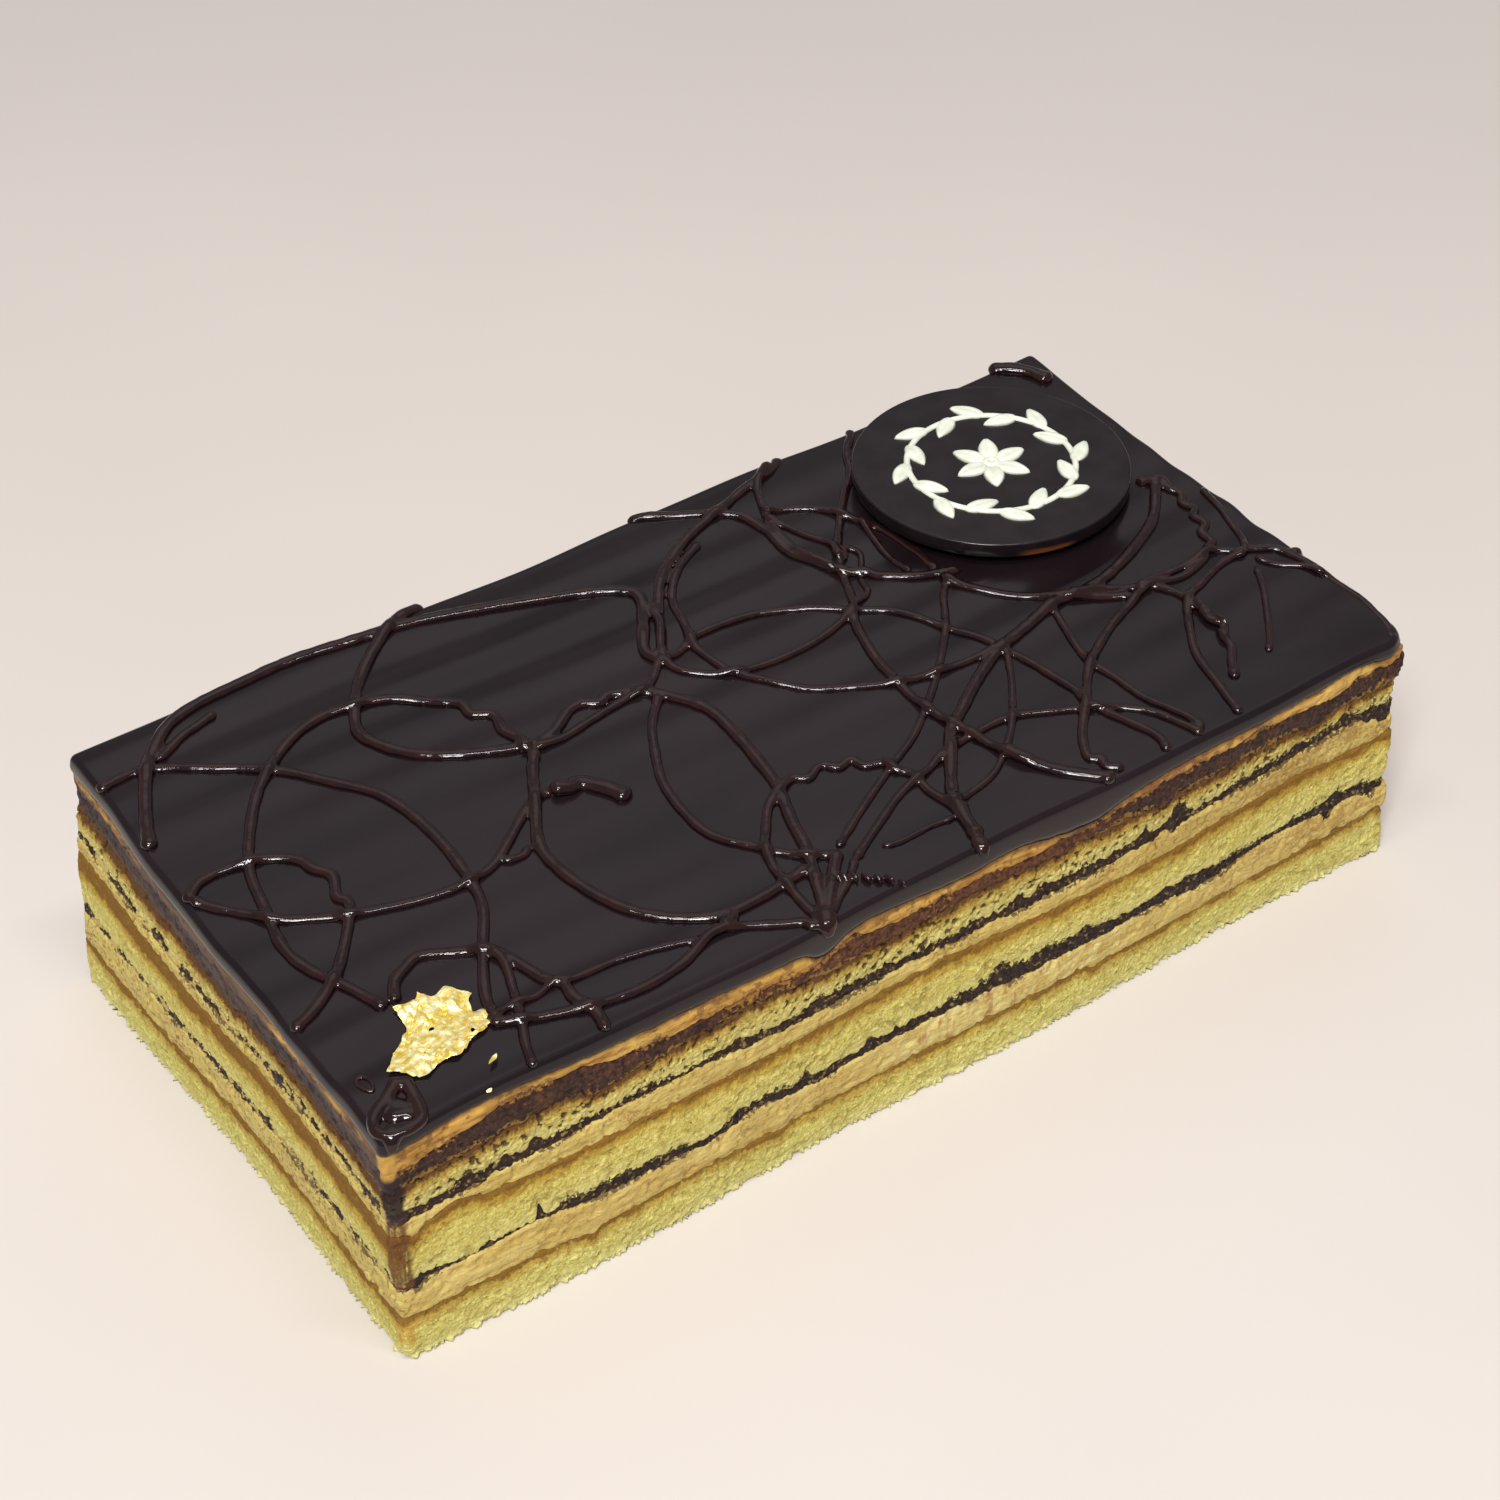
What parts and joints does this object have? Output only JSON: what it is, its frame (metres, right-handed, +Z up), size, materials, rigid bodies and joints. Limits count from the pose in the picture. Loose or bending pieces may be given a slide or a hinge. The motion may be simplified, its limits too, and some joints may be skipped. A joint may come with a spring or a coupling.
{
  "type": "opera cake",
  "caption": "Rectangular opera cake with sponge, coffee cream and ganache layers, dark glaze on top, a round chocolate plaque and a scrap of gold leaf.",
  "frame": {"origin": "under the middle of the cake, on the surface that it stands on", "axes": "+X along the cake's length, +Y to its back long side, +Z up"},
  "size_m": [0.2063, 0.1058, 0.0555],
  "materials": {
    "sponge": "soft matte crumb",
    "coffee_cream": "smooth, slightly satin",
    "top_cream": "smooth, slightly satin",
    "ganache": "dark chocolate, satin",
    "glaze": "poured chocolate, semi-gloss",
    "drizzle": "glossy set chocolate",
    "plaque_chocolate": "tempered chocolate, satin",
    "plaque_relief": "matte white chocolate",
    "gold_leaf": "crumpled, bright"
  },
  "bodies": {
    "root": {"sponge_bottom": "sponge", "cream_lower": "coffee_cream", "ganache_lower": "ganache", "sponge_middle": "sponge", "cream_middle": "coffee_cream", "ganache_middle": "ganache", "sponge_top": "sponge", "ganache_top": "ganache", "cream_top": "top_cream", "glaze": "glaze", "plaque": "plaque_chocolate", "plaque_wreath": "plaque_relief", "plaque_blossom": "plaque_relief", "gold_leaf": "gold_leaf"}
  },
  "joints": []
}
